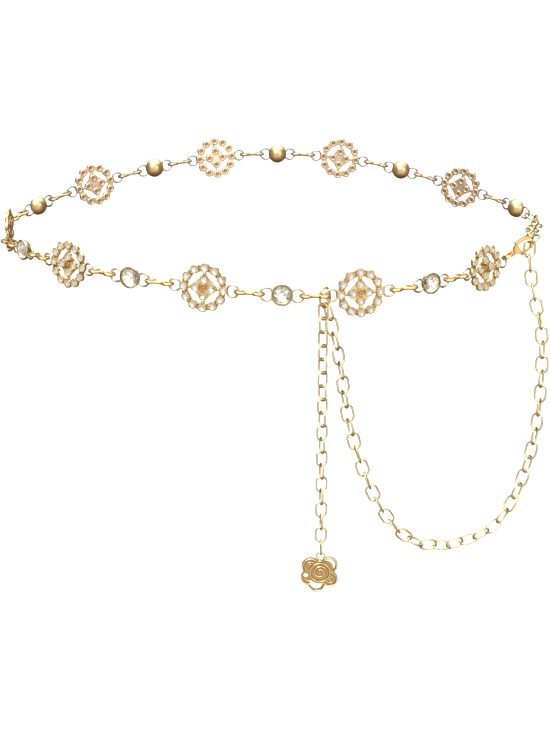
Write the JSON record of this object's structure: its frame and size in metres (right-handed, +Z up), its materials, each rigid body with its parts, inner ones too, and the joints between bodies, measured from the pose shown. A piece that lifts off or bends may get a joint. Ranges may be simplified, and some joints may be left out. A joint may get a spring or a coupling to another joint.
{
  "type": "waist chain",
  "caption": "Gold waist chain of pierced rosettes and domed crystal settings on figure-eight links, with a lobster clasp, a chain swag and a hanging chain ending in a pierced rose.",
  "frame": {"origin": "the middle of the open waist loop, where the wearer's body goes through", "axes": "+X to the wearer's left, which is the right of the picture; -Y to the wearer's front; +Z up along the body"},
  "size_m": [0.316, 0.198, 0.2262],
  "materials": {
    "pale_gold": "polished pale gold plate, worn a little darker in the recesses",
    "gold": "polished warm gold plate",
    "small_stones": "clear faceted glass over a pale foil back",
    "crystals": "clear faceted glass, foil backed"
  },
  "bodies": {
    "chain": {"rosette_1": "pale_gold", "rosette_2": "pale_gold", "rosette_3": "pale_gold", "rosette_4": "pale_gold", "rosette_5": "pale_gold", "rosette_6": "pale_gold", "rosette_7": "pale_gold", "rosette_8": "pale_gold", "rosette_9": "pale_gold", "rosette_stones_1": "small_stones", "rosette_stones_2": "small_stones", "rosette_stones_3": "small_stones", "rosette_stones_4": "small_stones", "rosette_stones_5": "small_stones", "rosette_stones_6": "small_stones", "rosette_stones_7": "small_stones", "rosette_stones_8": "small_stones", "rosette_stones_9": "small_stones", "crystal_cup_1": "gold", "crystal_cup_2": "gold", "crystal_cup_3": "gold", "crystal_cup_4": "gold", "crystal_cup_5": "gold", "crystal_cup_6": "gold", "crystal_cup_7": "gold", "crystal_cup_8": "gold", "crystal_cup_9": "gold", "crystal_1": "crystals", "crystal_2": "crystals", "crystal_3": "crystals", "crystal_4": "crystals", "crystal_5": "crystals", "crystal_6": "crystals", "crystal_7": "crystals", "crystal_8": "crystals", "crystal_9": "crystals", "connector_1": "pale_gold", "connector_2": "pale_gold", "connector_3": "pale_gold", "connector_4": "pale_gold", "connector_5": "pale_gold", "connector_6": "pale_gold", "connector_7": "pale_gold", "connector_8": "pale_gold", "connector_9": "pale_gold", "connector_10": "pale_gold", "connector_11": "pale_gold", "connector_12": "pale_gold", "connector_13": "pale_gold", "connector_14": "pale_gold", "connector_15": "pale_gold", "connector_16": "pale_gold", "connector_17": "pale_gold", "swag_chain": "gold", "tail_chain": "gold", "clasp_body": "gold", "clasp_ring": "gold", "front_ring": "gold"},
    "lever": {"clasp_lever": "gold"},
    "rose": {"rose_pendant": "gold"}
  },
  "joints": [
    {"name": "lever_hinge", "type": "hinge", "parent": "chain", "child": "lever", "pos_m": [0.13114, -0.04599, -0.00999], "axis": [0.1414, -0.9899, 0], "range_deg": [0, 22], "stiffness_Nm_per_rad": 0.02, "springref_deg": -17.19},
    {"name": "rose_swing", "type": "hinge", "parent": "chain", "child": "rose", "pos_m": [0.02121, -0.09844, -0.16199], "axis": [1, 0, 0], "range_deg": [-25, 25]}
  ]
}
